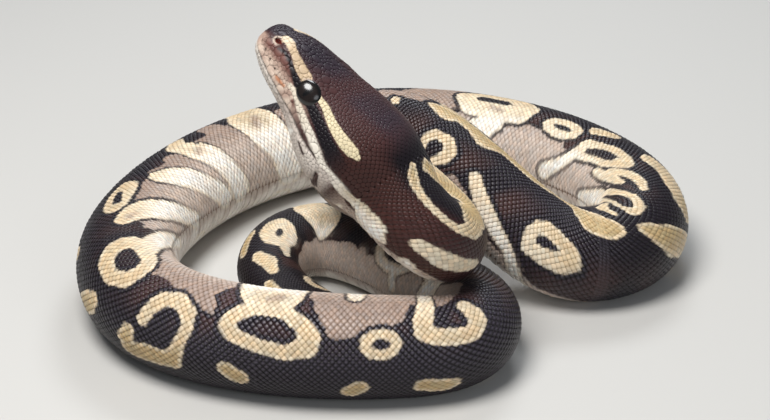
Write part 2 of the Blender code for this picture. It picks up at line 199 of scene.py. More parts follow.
class Body:
    """The centre line with its sizes, and points on the skin by distance and angle."""

    def __init__(self):
        rows = [(x, y, z, radius, radius, radius, roll) for x, y, z, radius, roll in ROUND_STATIONS]
        curve = even_samples(natural_spline(np.array(HEAD_STATIONS + NECK_STATIONS + tuple(rows))))
        for _ in range(EASE_PASSES):
            curve[1:-1] += 0.25 * (curve[:-2] - 2 * curve[1:-1] + curve[2:])
        curve = even_samples(curve)
        self.distance = arc_lengths(curve)
        self.length = self.distance[-1]
        self.point = curve[:, :3]
        self.sizes = curve[:, 3:6]
        self.along = unit(np.gradient(self.point, self.distance, axis=0))
        self.bend = np.gradient(self.along, self.distance, axis=0)
        side = unit(np.cross(self.along, (0, 0, 1)))
        roll = np.radians(curve[:, 6:])
        self.back = np.cos(roll) * np.cross(side, self.along) + np.sin(roll) * side
        self.left = np.cross(self.along, self.back)

    def at(self, values, distance):
        return sampled(values, self.distance, distance)

    def frame(self, distance):
        """Centre, and unit vectors to the animal's left, to its back and to its tail."""
        left = unit(self.at(self.left, distance))
        back = self.at(self.back, distance)
        back = unit(back - left * dot(left, back)[..., None])
        return self.at(self.point, distance), left, back, unit(self.at(self.along, distance))

    def radius(self, distance):
        return self.at(self.sizes, distance).mean(axis=-1)

    def squareness(self, distance):
        fade = clamp((distance - HEAD_LENGTH) / SQUARE_FADE)
        return SQUARE_HEAD + (SQUARE_BODY - SQUARE_HEAD) * fade

    def snout(self, distance):
        """Where a distance lies along the axis, and how full the section is there."""
        turn = clamp((distance - SNOUT_POLE) / (SNOUT_ROUNDING - SNOUT_POLE)) * math.pi / 2
        axial = SNOUT_ROUNDING * (1 - np.cos(turn) ** (2 / SNOUT_POWER))
        fullness = np.sin(turn) ** (2 / SNOUT_POWER)
        return np.where(distance < SNOUT_ROUNDING, axial, distance), fullness

    def surface(self, distance, angle, lift=0):
        """Points of the skin, raised by lift along the section's own radius."""
        axial, fullness = self.snout(np.asarray(distance))
        centre, left, back, _ = self.frame(axial)
        half_width, height, depth = np.moveaxis(self.at(self.sizes, axial), -1, 0)
        power = 2 / self.squareness(axial)
        across = half_width * fullness * signed_power(np.sin(angle), power)
        cosine = np.cos(angle)
        up = np.where(cosine > 0, height, depth) * fullness * signed_power(cosine, power)
        offset = left * across[..., None] + back * up[..., None]
        offset += unit(offset) * np.asarray(lift)[..., None]
        bend = self.at(self.bend, axial)
        excess = np.maximum(dot(offset, bend) - PINCH_LIMIT, 0)
        offset -= bend * (excess / np.maximum(dot(bend, bend), TINY))[..., None]
        point = centre + offset
        point[..., 2] = np.maximum(point[..., 2], 0)
        return point

    def head_place(self, point, near):
        """Distance along the axis, across and up, of points close to a known distance."""
        distance = near
        for _ in range(3):
            distance = np.maximum(distance, 0)
            centre, left, back, along = self.frame(distance)
            distance = distance + dot(point - centre, along)
        offset = point - centre
        return distance, dot(offset, left), dot(offset, back)

    def head_shares(self, distance, across, up):
        """Across and up, as shares of the section's half width and of its height or depth."""
        sizes = self.at(self.sizes, np.maximum(distance, 0))
        half_width, height, depth = np.moveaxis(sizes, -1, 0)
        return across / half_width, up / np.where(up > 0, height, depth)

    def head_level(self, distance, across, up):
        """1 on the head's surface, less inside and more outside."""
        power = self.squareness(distance)
        wide, tall = self.head_shares(distance, across, up)
        level = (np.abs(wide) ** power + np.abs(tall) ** power) ** (1 / power)
        ahead = np.maximum(SNOUT_ROUNDING - distance, 0) / SNOUT_ROUNDING
        return (level ** SNOUT_POWER + ahead ** SNOUT_POWER) ** (1 / SNOUT_POWER)

    def head_drop(self, point, near):
        """The nearest points of the head's surface along its radius, with normal and chart."""
        distance, across, up = self.head_place(point, near)
        level = self.head_level(distance, across, up)
        ahead = np.maximum(SNOUT_ROUNDING - distance, 0) / level
        distance = np.where(distance < SNOUT_ROUNDING, SNOUT_ROUNDING - ahead, distance)
        across, up = across / level, up / level
        place = np.stack([distance, across, up], axis=-1)
        slopes = []
        for move in np.eye(3) * SLOPE_STEP:
            ends = [self.head_level(*np.moveaxis(place + way, -1, 0)) for way in (move, -move)]
            slopes.append((ends[0] - ends[1])[..., None])
        centre, left, back, along = self.frame(np.maximum(distance, 0))
        centre = centre + along * np.minimum(distance, 0)[..., None]
        normal = unit(left * slopes[1] + back * slopes[2] + along * slopes[0])
        placed = centre + left * across[..., None] + back * up[..., None]
        return placed, normal, self.head_chart(distance, across, up)

    def head_chart(self, distance, across, up):
        """The distance and angle, in radians, that surface() takes for a place on the head."""
        power = self.squareness(distance) / 2
        wide, tall = self.head_shares(distance, across, up)
        ahead = clamp((SNOUT_ROUNDING - distance) / SNOUT_ROUNDING)
        turn = np.arccos(ahead ** (SNOUT_POWER / 2)) / (math.pi / 2)
        rounded = SNOUT_POLE + (SNOUT_ROUNDING - SNOUT_POLE) * turn
        return (np.where(distance < SNOUT_ROUNDING, rounded, distance),
                np.arctan2(signed_power(wide, power), signed_power(tall, power)))


BODY = Body()


def frame_shift():
    """How the solids' frame lies from the stations' own, found from the left eye."""
    centre, left, back, _ = BODY.frame(EYE_BACK)
    low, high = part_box("eye_left")
    return centre + left * EYE_SIDE + back * EYE_UP - np.array((low + high) / 2) / METRES_PER_MM


SHIFT = frame_shift()


def to_frame(points):
    placed = (points - SHIFT) * METRES_PER_MM
    placed[..., 2] = np.maximum(placed[..., 2], FLOOR_GAP)
    return placed


def per_degree(distance):
    """Millimetres along the skin for one degree of angle, about."""
    return BODY.radius(np.maximum(distance, 1.5)) * math.pi / 180


def lip_angle(distance):
    """The angle in degrees at which the mouth line crosses a head section."""
    axial, fullness = BODY.snout(distance)
    depth = BODY.at(BODY.sizes, axial)[..., 2] * np.maximum(fullness, 0.01)
    share = clamp(-lookup(MOUTH_HEIGHTS, distance) / depth)
    return np.degrees(math.pi - np.arccos(share ** (BODY.squareness(distance) / 2)))


def lip_gap(distance, side):
    """Millimetres that a place on the head lies below the mouth line."""
    return (side - lip_angle(distance)) * per_degree(distance)


def head_gap(distance, side, place):
    """Millimetres from a place on the head, given by distance and angle."""
    return np.hypot(distance - place[0], (side - place[1]) * per_degree(distance))


# ---------------------------------------------------------------- the markings
def srgb(red, green, blue):
    channels = np.array([red, green, blue]) / 255
    return np.where(channels <= 0.04045, channels / 12.92, ((channels + 0.055) / 1.055) ** 2.4)


BLACK = srgb(22, 16, 22)
DARK_BROWN = srgb(60, 38, 34)
GREY_BROWN = srgb(154, 134, 121)
PALE_GREY = srgb(196, 180, 168)
TAN = srgb(202, 180, 146)
GOLD = srgb(182, 158, 116)
CREAM = srgb(222, 206, 180)
WHITE = srgb(240, 235, 227)
HEAD_DARK = srgb(70, 44, 44)
# Blue of a painted sky sheen on the top of the head.
HEAD_SHEEN_BLUE = srgb(46, 40, 52)
HEAD_RED = srgb(112, 74, 66)
NECK_BROWN = srgb(60, 32, 28)
STRIPE_TAN = srgb(192, 168, 138)
STRIPE_CREAM = srgb(218, 203, 168)
LIP_PINK = srgb(190, 162, 147)
LIP_CREAM = srgb(228, 208, 190)
JAW_GREY = srgb(188, 174, 164)
JAW_PALE = srgb(214, 204, 194)
# Painted shade for hollows: the mouth groove, the heat pits and the depth of the nostril; below it
# a reddish painted shade just inside the nostril.
PAINTED_HOLLOW_SHADE = srgb(48, 20, 18)
NOSTRIL_SHADE_RED = srgb(98, 30, 20)
PIT_ORANGE = srgb(186, 112, 66)
# Painted light: a pale arc on the eye's upper rim.
PAINTED_EYE_RIM_LIGHT = srgb(150, 140, 146)


def blend(colour, *coats):
    """A colour with others laid over it in turn, each followed by its share."""
    for other, share in zip(coats[::2], coats[1::2]):
        colour = colour + (other - colour) * np.asarray(share)[..., None]
    return colour


def ring(distance, angle, half_length, half_turn, half_width, count=9):
    """A closed stroke around a middle: sizes in millimetres, half_turn in degrees."""
    turns = [2 * math.pi * k / count for k in range(count + 1)]
    return [(distance + half_length * math.cos(turn), angle + half_turn * math.sin(turn),
             half_width) for turn in turns]


# Each stroke is a chain of points: distance, angle in degrees, half width in millimetres.
LIGHT_STROKES = [
    # neck: the stripe that turns round the fold, its twin on the right, and the side patches
    ((56.8, 14, 1), (58.6, 20, 1.7), (61, 25, 1.6), (64.5, 32, 1.2), (68, 40, 1), (72, 48.5, 1),
     (75.5, 52, 1.2), (78.6, 45, 2.4)),
    ((79.6, 40, 2.8), (80.6, 26, 4.4), (80.8, 8, 4.6), (86, 10, 5), (90, 12, 5), (96, 8, 4.8),
     (102, 12, 4.4), (108, 25, 3.4), (113, 40, 2)),
    ((59.6, -2, 0.8), (58.8, -9, 2.2), (61, -18, 3.1), (66, -27, 3.2), (74, -38, 2.4),
     (84, -44, 1.8)),
    ((72.5, 98, 2.2), (76.5, 101, 3), (80, 95, 2.4), (83.5, 86, 1.8)),
    ((74.4, 152, 2.3), (73.2, 141, 1.8), (72.6, 132, 0.6)), ((53.5, 138, 1.5), (53.5, 128, 0.9)),
    ((38, 97, 0.6), (44, 97.5, 0.9), (47, 97.5, 1.5), (50, 101.5, 1.3), (55, 103, 1.5),
     (59.5, 104, 2.8), (62.5, 111, 4.2), (64.5, 128, 3.6)),
    # second bend: the stripe down the back
    ((164.4, 32, 1.4), (165, 28, 1.1)),
    ((175.6, 19, 2.2), (178.6, 19, 3.8), (181, 12, 2.6), (188, 12, 3.4), (191.5, 18, 3.8),
     (197, 6, 2.6), (204, 7, 2.6), (210, 6, 2.6), (215.5, 1, 1.8), (219, -5, 1.5),
     (223, -10, 1.5), (228, -14, 2.2)),
    ((228, -14, 2.2), (233, -10, 3.4), (237, -5, 5), (241, -7, 4.8), (243.5, -9, 3.6)),
    ((179.6, 84, 1.3), (178.9, 72, 1.4), (181, 60, 1.5), (185, 57.5, 1.7), (187.4, 67, 1.9),
     (187.2, 80, 1.8), (185.4, 90, 1.4)),
    ((197.5, 74, 1.8), (201, 86, 2.2), (206, 97, 2.4), (212, 107, 2.4), (218.5, 115, 2),
     (222, 130, 2.4), (226, 165, 3)),
    ((221.4, 90, 2), (226.5, 84, 2.5), (230.6, 75, 2.9), (233.4, 63, 2.5), (233, 53.5, 2.4),
     (228, 51.5, 2.2), (223.6, 55, 2.1), (220.8, 64, 1.9), (220, 76, 2.1), (221.4, 87, 2.2)),
    ((253, -13, 2.6), (256.5, -2, 4), (259.5, 11, 4.8), (263, 22, 4)),
    # the bend at the right
    ((246.6, -36, 1.2), (244.6, -47, 2), (246.6, -60, 1.4), (250, -76, 1.1)),
    ((252.2, -40, 1.5), (250.8, -58, 0.8), (252.4, -78, 0.9), (256, -103, 1.2),
     (261.5, -122, 1.2), (268, -139, 1.4)),
    ((252.2, -40, 1.5), (255.4, -48, 1.4), (257.9, -65, 1.3), (260.8, -89, 1.4),
     (264, -107, 1.5), (268, -119, 1.6), (271.5, -131, 1.8)),
    ((270, -138, 2.4), (275, -144, 2.9), (281, -155, 2.9), (287, -166, 3), (293, -176, 3.2)),
    ((270, -8, 3.6), (271, -28, 4), (275, -38, 5), (281, -48, 4.6), (285.5, -62, 3.6)),
    ((265, -73, 1.2), (269, -81, 1.7), (273, -90, 1.8), (277.5, -102, 1.7), (282, -114, 1.5),
     (285.5, -120, 0.9)),
    ((271, -105, 0.8), (275, -114, 1.5), (280, -122, 1.7), (286, -130, 1.8), (291, -133.5, 1.4)),
    ((282.5, -95, 1.8), (287, -93, 1.7), (294, -96, 1.6), (300, -104, 1.5), (305, -112, 2.2),
     (305.5, -124, 2.3), (308, -140, 2.2), (312, -154, 2.3), (317.5, -167, 3)),
    ((282.5, -95, 1.8), (285, -106, 1.5), (290, -118, 1.4), (297, -125, 1.2), (304, -130, 1.6)),
    ((284, -101, 2), (288, -106, 1.6)), ring(318.6, -105, 6.5, 11, 1.7),
    ((303, -74, 2.4), (308, -84, 2.8)),
    ((352, -74, 3), (341, -74, 3.4), (335, -90, 3.4), (337, -106, 4.2), (346, -106, 4.6),
     (355, -104, 4.6), (358, -88, 4), (352, -74, 3)),
    ((345, -124, 4.2), (350, -140, 5), (353, -165, 5)),
    # left side of the coil
    ((436, -68, 5.6), (437.5, -98, 8.4), (436, -126, 8), (433.5, -148, 6.6), (431.5, -180, 6.2)),
    ((464, -66, 2.6), (469.5, -86, 3.4), (467, -106, 5.2), (463.5, -128, 5), (461, -150, 4.4),
     (458, -178, 5)),
    ((489.5, -107, 3.2), (485, -120, 4.4), (480, -135, 4.6), (476, -150, 4), (471, -166, 4),
     (467, -180, 4)),
    ((520.5, -97, 2.9), (515, -109, 4.4), (508.5, -128, 4.8), (500.5, -150, 3.8), (493, -170, 3),
     (489, -180, 3)),
    ring(504.5, -81, 7.4, 5.5, 2.9),
    ((535, -92, 3.2), (535.6, -78, 3), (538.8, -65, 2.8), (544, -60, 2.5), (549.2, -67, 2.5),
     (550.7, -81, 2.4), (550.5, -96, 2.3), (547.8, -106, 2.4), (540.6, -110, 2.8),
     (535.2, -105, 3.2), (535, -92, 3.2)),
    ((541, -113, 3.8), (535.5, -126, 3.7), (529.5, -140, 3.6), (522, -155, 3.2),
     (514.5, -170, 2.6), (510, -180, 2.4)),
    # front of the coil
    ((556, 4, 3), (562, -2, 3.6), (568, -4, 3), (569.5, -16, 2), (570.5, -30, 1.6),
     (572, -48, 1.6), (571, -64, 2.2), (567, -74, 2.6), (563, -69, 2.4), (560.5, -53, 1.8),
     (559.5, -39, 1.6)),
    ((555, -8, 2.6), (556, -23, 1.7)),
    ((590, -88, 2.6), (586, -80, 2.4), (583, -70, 2.2), (582, -60, 2.1), (584, -51, 2.1),
     (591, -43, 2), (598, -39, 2.2), (603.5, -46, 2.9), (604, -58, 2.9), (602, -70, 2.4),
     (597.5, -82, 2.2), (592, -90, 2.6)),
    ((592.5, -101, 6.6), (592, -106, 8), (591.5, -116, 9.6), (591, -132, 10.6), (592, -160, 9)),
    ring(622.4, -51.5, 4.2, 12, 1.45), ((615.5, -116, 2.2), (616, -134, 3)),
    ((636.4, -130, 2.2), (635.8, -106, 2.2), (635, -92, 2.5), (633.8, -74, 2.6),
     (633.8, -62, 2.4), (636.6, -54.5, 2.4), (641, -49, 2.4), (644, -46, 2.3), (646.1, -53, 2.2),
     (646.4, -66, 2.1), (645.2, -84, 1.8)),
    # spots along the back of the front of the coil
    ((521, -27, 1.8), (519, -20, 2)), ((536, -4, 3.2), (540, -16, 3.4), (542, -26, 2.2)),
    ((583, -11, 2.4), (586, -2, 2.8)), ((615, 8, 2.8), (617, 1, 2.6)),
    # inner turn
    ((738.5, -42, 3.6), (738, -58, 4.8), (736, -76, 5.6), (732.5, -92, 6.6), (733, -100, 5)),
    ring(755, -75, 5.1, 21, 2.6), ((762, -90, 1.8), (767, -86, 1.2)),
    ((766.5, -34, 2.2), (769.5, -42, 2.8), (773.5, -34, 1.8)),
]
HOLE_STROKES = [
    ((184.2, 37, 1.6), (184.6, 26, 0.6)), ((344, -88, 1.5), (353, -87, 1.8)),
    ((461.5, -90, 1.4), (463, -96, 1)), ((502.5, -78, 1.2), (508, -82, 1.6)),
]
FRECKLES = (
    ((591.4, -99, 0.9), (594.2, -106, 1.7)), ((436, -95, 1.5), (438, -109, 1.7)),
    ((465, -107, 0.8), (467.6, -113, 1)), ((515.5, -109, 0.7), (519, -103, 1.2)),
    ((344, -106, 0.8), (348, -102, 1.2)),
)
GREY_STROKES = [
    ((164, 10, 4.2), (170.4, 11, 3.4)),
    ((193, 96, 2.6), (197, 108, 4), (202, 122, 5), (206, 140, 5)), ((236, 136, 3.5), (240, 150, 5)),
    ((279, -131, 1.6), (286, -144, 2.6), (293, -153, 4.2), (301, -160, 5), (307, -170, 3.6)),
    ((316, -131, 3.2), (324, -134, 4.2), (331, -129, 4), (335, -138, 3.4), (334, -158, 5)),
    ((318, -148, 4), (328, -148, 4.5)),
    ((370, -70, 6), (374, -90, 7), (380, -115, 8), (380, -150, 8)),
    ((452, -78, 4.4), (452, -110, 5.4), (450, -145, 5.4), (447, -175, 6)),
    ((477, -98, 3.4), (474, -118, 3), (471, -136, 2)),
    ((497, -102, 3.2), (500, -112, 3.4), (494, -128, 3.6), (488, -146, 3.2), (482, -166, 2.6)),
    ((524, -122, 1.4), (516.5, -142, 2.4), (507, -162, 2)),
    ((572, -90, 4), (575.4, -78, 3), (577, -71, 1.6)), ((364, -70, 5), (364, -100, 5)),
    ((570, -94, 6), (570, -112, 8.5), (558, -130, 6.5), (545, -148, 5), (530, -168, 5)),
    ((611, -67, 3.6), (611.5, -84, 6.2), (620, -86, 6.4), (626, -100, 5.4), (618, -120, 9),
     (610, -115, 7), (609, -98, 5.5)),
    ((613, -64, 2.4), (624, -80, 2.8), (627.2, -82, 2.4), (627.4, -100, 2.6)),
]
# Stretches of each side that no designed mark covers: side, start, end.
OPEN_STRETCHES = (
    (1, 88, 164), (-1, 66, 238), (1, 266, 820), (-1, 388, 422), (-1, 668, 724), (-1, 778, 820),
)
FULL_RADIUS = 15.8
# Where the grey of the flanks begins on the side that looks up: distance, degrees.
FLANK_EDGES = (
    (0, 128), (230, 128), (262, 118), (290, 128), (330, 122), (400, 122), (428, 92), (470, 92),
    (500, 98), (518, 104), (524, 128), (533, 128), (545, 102), (553, 90), (573, 86), (579, 108),
    (584, 112), (600, 104), (640, 98), (660, 110), (690, 122), (900, 122),
)
# The same on the side that looks down, in degrees from the animal's own back.
FAR_FLANK_EDGES = ((64, 112), (69, 142), (92, 142), (106, 126))
# How many degrees later the marks turn pale towards the belly: distance, degrees.
PALE_DELAYS = (
    (188, 0), (197, -22), (220, -22), (236, 0), (252, 40), (290, 40), (306, 22), (318, 10),
    (335, 0), (490, 0), (502, 12), (520, 18), (548, 18), (566, 0), (715, 0), (730, -28), (775, -28),
    (790, 0),
)


def add_mark(strokes, side, size, *chain):
    """Adds a stroke, with angles from the animal's own back and widths for a full-sized body."""
    strokes.append([(s, side * a + twist(s), w * size) for s, a, w in chain])


def add_wild_marks(random):
    """Marks of the same kinds on the stretches that the designed ones leave open.

    Each step along the body has a ring, mostly a stalk or a pale foot under it, then a grey
    wedge, and often a spot on the back."""
    for side, start, end in OPEN_STRETCHES:
        place = start + 8
        while place < end - 6:
            size = BODY.radius(place) / FULL_RADIUS
            light = LIGHT_STROKES, side, size
            wide = (9 + 3.5 * random.random()) * size
            top = 50 + 12 * random.random()
            bottom = 98 + 8 * random.random()
            lean = random.uniform(-3, 3)
            kind = random.random()
            between = place + wide * 1.42
            add_mark(*light, *ring(place, top + 24, wide * 0.78, side * 20, 2.2))
            if kind < 0.35:
                add_mark(*light, (place, top + 8, 1.5), (place + lean, bottom, 1.8))
            if kind < 0.6:
                add_mark(*light, (place, bottom, 4.6), (place + lean, bottom + 26, 5.4),
                         (place + 1.5 * lean, 176, 5.4))
            else:
                add_mark(*light, (place - 2, bottom - 6, 2.4), (place - 3, bottom + 22, 2.2))
            add_mark(GREY_STROKES, side, size, (between, 94, 2.6), (between, 112, 4.6),
                     (between + lean, 150, 5.6))
            if random.random() < 0.7 and not 572 < between < 628:
                add_mark(*light, (between - 3, 4, 2.6), (between + 2, 12, 3))
            place += wide * 2.84


STROKE_REACH = 50
STROKE_MARGIN = 14


def stroke_distance(strokes, distance, angle):
    """Millimetres to the nearest edge of any stroke, below zero inside."""
    nearest = np.full(distance.shape, float(STROKE_REACH))
    for stroke in strokes:
        places = [point[0] for point in stroke]
        chosen = np.nonzero((distance > min(places) - STROKE_MARGIN)
                            & (distance < max(places) + STROKE_MARGIN))[0]
        scale = per_degree(sum(places) / len(places))
        s = distance[chosen]
        a = angle[chosen] * scale
        for (s0, a0, w0), (s1, a1, w1) in zip(stroke[:-1], stroke[1:]):
            ds = s1 - s0
            da = (a1 - a0) * scale
            off = a - a0 * scale
            off = off - 360 * scale * np.round(off / (360 * scale))
            share = clamp(((s - s0) * ds + off * da) / max(ds * ds + da * da, 1e-9))
            gap = np.hypot(s - s0 - share * ds, off - share * da) - (w0 + share * (w1 - w0))
            nearest[chosen] = np.minimum(nearest[chosen], gap)
    return nearest


def waves(distance, angle, seed):
    """A slow wavering between -1 and 1 over the body."""
    random = np.random.default_rng(seed)
    total = np.zeros(distance.shape)
    for _ in range(6):
        length = random.uniform(9, 30)
        turns = random.integers(1, 5)
        total += np.sin(distance / length * 2 * math.pi + np.radians(angle) * turns
                        + random.uniform(0, 6.3))
    return total / 3.5


def body_pigment(distance, angle):
    """Colour of the body's skin by distance and angle in degrees."""
    own = wrapped(angle - twist(distance))
    around = np.abs(own)
    towards = np.where(own < 0, np.abs(angle), around)
    light, hole, grey, freckle = [stroke_distance(strokes, distance, angle) for strokes
                                  in (LIGHT_STROKES, HOLE_STROKES, GREY_STROKES, FRECKLES)]
    inside = np.maximum(light, -hole)
    waver = waves(distance, angle, 3)

    def far(low, high):
        return smooth(distance, low, high)

    def off(low, high):
        return smooth(around, low, high)

    def down(low, high):
        return smooth(towards, low, high)

    # The ground: dark back, grey flanks and a white belly.
    dark = blend(BLACK, DARK_BROWN, off(25, 70) * clamp(0.35 + 0.65 * waver),
                 NECK_BROWN, far(96, 68) * off(28, 52))
    edge = np.where(own < 0, lookup(FLANK_EDGES, distance), lookup(FAR_FLANK_EDGES, distance))
    limit = edge + 5 * waver
    flank = blend(GREY_BROWN, PALE_GREY, down(100, 144))
    is_flank = (grey < 0) | (towards > limit) | (around > 140)
    # Grey-brown patches towards the edges of the belly: partly the belly's own mottling and partly
    # painted shade on the undersides of the coils.
    belly_shade_and_mottle = smooth(waves(distance * 3.1, angle, 11), 0.30, 0.70) * off(170, 154)
    belly = blend(WHITE, PALE_GREY, clamp(0.30 + 0.30 * waver), GREY_BROWN * 0.85, 0.80 * belly_shade_and_mottle)
    colour = blend(np.where(is_flank[..., None], flank, dark),
                   belly, off(148 + 5 * waver, 160 + 5 * waver))
    # Dark lines round the grey and the light marks, stronger at the front and at the right bend.
    crisp = (far(484, 500) * far(622, 604) + far(244, 252) * far(356, 346)) * (wrapped(angle) < 0)
    line = blend(BLACK, flank * 0.42, down(98, 130) * (1 - 0.8 * crisp),
                 flank * 0.78, down(130, 150) * (1 - 0.6 * crisp))
    rim_width = np.where(towards > limit - 6, 0.75 + 0.60 * crisp, 1.5)
    rims = ((np.abs(grey) < 0.6) & (towards < limit)) | ((inside > 0) & (inside < rim_width))
    rims = rims & (distance > 94) & (around < 142)
    colour = np.where(rims[..., None], line, colour)
    # The light marks: gold on the back, then tan, cream and white towards the belly.
    late = lookup(PALE_DELAYS, distance)
    spots = clamp(0.5 + 0.5 * waves(distance * 6, angle * 3, 21))
    speckle = smooth(inside, -2.4, -5) * down(128, 108) * down(60, 80)
    warm = blend(GOLD, TAN, down(8, 42),
                 CREAM, smooth(towards - late, 66, 98) * 0.9,
                 WHITE, smooth(towards - 0.6 * late, 98, 132) * 0.9,
                 WHITE, far(76, 64) * off(96, 112) * 0.9,
                 TAN * 0.86, 0.80 * speckle * (0.35 + 0.65 * spots),
                 GREY_BROWN, 0.75 * smooth(freckle, 1.3, -1.2),
                 CREAM, 0.65 * smooth(inside, -1.4, -0.3))
    return blend(colour, warm, smooth(inside, 0.15, -0.15))


# Head marks, the same on both sides: distance, angle, half width.
HEAD_TAN = (
    ((5.8, 33, 1.2), (6.6, 24, 1.7), (8.2, 29, 1.7), (9.8, 36, 1.3), (12, 42, 1.35),
     (15, 49, 1.75), (18.6, 52, 1.75)),
    ((25, 54, 1.2), (28.5, 53, 1.5), (32, 57, 1.6), (36, 61, 1.85), (40, 64, 2.05),
     (43, 65, 1.9), (45.6, 66, 0.8)),
)
HEAD_BLACK = (
    ((24, 72, 1.8), (27, 72, 2.1), (31, 73, 2.1), (35, 78, 2.1), (40, 83, 2.1), (44, 86, 1.8),
     (48, 89, 1.4)),
    ((19, 72, 1.4), (16, 68, 1), (12, 59, 0.7), (9, 54, 0.6), (7, 60, 0.45)),
)
HEAD_CREAM = (
    ((17.6, 84, 0.9), (19.8, 83, 1.1), (22, 88, 0.8), (24, 88, 0.85), (28, 89, 0.95),
     (32, 89, 0.9), (36, 92, 0.8), (41, 96.5, 0.85), (46, 98, 1.1), (52, 101, 1.5)),
)
PIT_LINE = (((12.2, 95, 0.3), (14.5, 93.5, 0.4), (16.4, 91.5, 0.25)),)
JAW_WEDGE = (((27.4, 134, 1.6), (28.2, 114, 0.3)),)
CHEEK_SPOT = (((21.2, 92, 0.5), (22.4, 93, 0.5)),)
# Dark brown on the lower jaw: the first stroke, along the crease behind the corner of the mouth, is
# painted crease shadow; the second is a small dark patch further forward.
JAW_CREASE_SHADE_AND_SPOT = (
    ((41.5, 112, 0.9), (43, 128, 1.3), (42, 140, 1)), ((32, 108, 0.45), (35, 110, 0.5)),
)


def head_pigment(distance, angle):
    """Colour of the head's skin by distance and angle in degrees."""
    side = np.abs(angle)
    waver = waves(distance, angle, 5)
    fine = waves(distance * 2.6, angle * 2, 8)

    def far(low, high):
        return smooth(distance, low, high)

    def off(low, high):
        return smooth(side, low, high)

    def marked(strokes, low, high):
        return smooth(stroke_distance(strokes, distance, side), low, high)

    stripe = blend(STRIPE_TAN, STRIPE_CREAM, far(20, 26), CREAM, far(10, 7) * 0.8)
    jaw = blend(JAW_GREY, JAW_PALE, clamp(0.5 + 0.5 * waver + far(20, 8)),
                WHITE, marked(JAW_WEDGE, 0.5, -0.5))
    return blend(
        # A blue painted sky sheen on the top of the head, and the front of the top darkened with a
        # dimmer copy of that blue.
        HEAD_DARK, HEAD_SHEEN_BLUE, off(30, 8) * (0.45 + 0.3 * waver),
        HEAD_SHEEN_BLUE * 0.65, far(26, 14) * off(48, 26) * 0.75,
        HEAD_RED, off(52, 64) * far(22, 16) * (0.8 + 0.2 * fine),
        NECK_BROWN, far(30, 44) * off(15, 60),
        LIP_PINK, off(72, 86 + 5 * fine) * far(31, 20) * (0.84 + 0.16 * waver),
        LIP_CREAM, off(82, 92) * far(26, 19) * clamp(0.55 + 0.5 * fine),
        LIP_PINK, far(4.4, -0.5) * off(42, 66) * 0.85,
        BLACK, marked(HEAD_BLACK, 0.3, -0.3) * far(49, 38),
        stripe, marked(HEAD_TAN, 0.12, -0.12),
        blend(CREAM, WHITE, 0.35 + 0.30 * far(24, 36)), marked(HEAD_CREAM, 0.3, -0.3),
        HEAD_RED, marked(CHEEK_SPOT, 0.3, -0.3),
        PIT_ORANGE, 0.8 * marked(PIT_LINE, 0.3, -0.2),
        jaw, smooth(lip_gap(distance, side), -0.1, 0.1) * far(HEAD_LENGTH, 44),
        DARK_BROWN, marked(JAW_CREASE_SHADE_AND_SPOT, 0.4, -0.4))


def pigment(distance, angle):
    """Colour at a place, with the angle in degrees from -180 to 180."""
    return blend(head_pigment(np.minimum(distance, 60), angle),
                 body_pigment(distance, angle), smooth(distance, 46, 54))


# ---------------------------------------------------------------- building meshes
STRIP_LENGTH = 105
PATCH_PER_MM = 0.00125
COLOUR_NAME = "Pigment"
UV_NAME = "OFBake"


def add_object(name, data):
    thing = bpy.data.objects.new(name, data)
    bpy.context.scene.collection.objects.link(thing)
    return thing


def make_object(name, points, faces, colours, uvs, material):
    """A mesh object with colours on its points and uvs on its corners."""
    mesh = bpy.data.meshes.new(name)
    mesh.vertices.add(len(points))
    mesh.vertices.foreach_set("co", to_frame(points).astype(np.float32).ravel())
    mesh.loops.add(faces.size)
    mesh.loops.foreach_set("vertex_index", faces.astype(np.int32).ravel())
    mesh.polygons.add(len(faces))
    starts = np.arange(0, faces.size, faces.shape[1], dtype=np.int32)
    mesh.polygons.foreach_set("loop_start", starts)
    mesh.update(calc_edges=True)
    mesh.validate()
    layer = mesh.uv_layers.new(name=UV_NAME)
    layer.data.foreach_set("uv", uvs.astype(np.float32).ravel())
    paint = mesh.color_attributes.new(COLOUR_NAME, "FLOAT_COLOR", "POINT")
    rows = np.concatenate([clamp(colours), np.ones((len(points), 1))], axis=1)
    paint.data.foreach_set("color", rows.astype(np.float32).ravel())
    mesh.shade_smooth()
    mesh.materials.append(material)
    piece = add_object(name, mesh)
    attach(piece, "root")
    return piece


def close_ends(piece):
    """Closes the open ends of a tube."""
    form = bmesh.new()
    form.from_mesh(piece.data)
    edges = [edge for edge in form.edges if edge.is_boundary]
    bmesh.ops.holes_fill(form, edges=edges, sides=0)
    bmesh.ops.recalc_face_normals(form, faces=form.faces)
    form.to_mesh(piece.data)
    form.free()


def grid_faces(rows, columns, closed=True):
    """Quads of a grid: the row and column of each corner, and the corners' numbers."""
    across = np.arange(columns if closed else columns - 1)
    row = np.repeat(np.arange(rows - 1), len(across))[:, None] + (0, 0, 1, 1)
    column = np.tile(across, rows - 1)[:, None] + (0, 1, 1, 0)
    return row, column, row * columns + column % columns


def copied(faces, each, count):
    """The faces of count copies of a form that has that many points each."""
    return (faces[None] + each * np.arange(count)[:, None, None]).reshape(-1, faces.shape[1])


def plate_faces(count, corners, rings):
    """Triangles of many plates, each made of rings of corners round a middle point."""
    each = corners * rings + 1
    k = np.arange(corners)
    after = (k + 1) % corners
    parts = []
    for outer in range(0, each - 1 - corners, corners):
        inner = outer + corners
        parts.append(np.stack([outer + k, outer + after, inner + after], axis=-1))
        parts.append(np.stack([outer + k, inner + after, inner + k], axis=-1))
    last = each - 1 - corners
    parts.append(np.stack([last + k, last + after, np.full(corners, each - 1)], axis=-1))
    return copied(np.concatenate(parts), each, count)


def patch_uvs(start, end, distance, angle, spread, faces):
    """Each plate as a small patch, at its root's place on the unwrap from start to end."""
    root = np.stack([(distance - start) / (end - start), (angle + 180) / 360], axis=-1)
    places = (0.02 + 0.96 * root)[:, None, :] + spread * PATCH_PER_MM
    return places.reshape(-1, 2)[faces.ravel()]


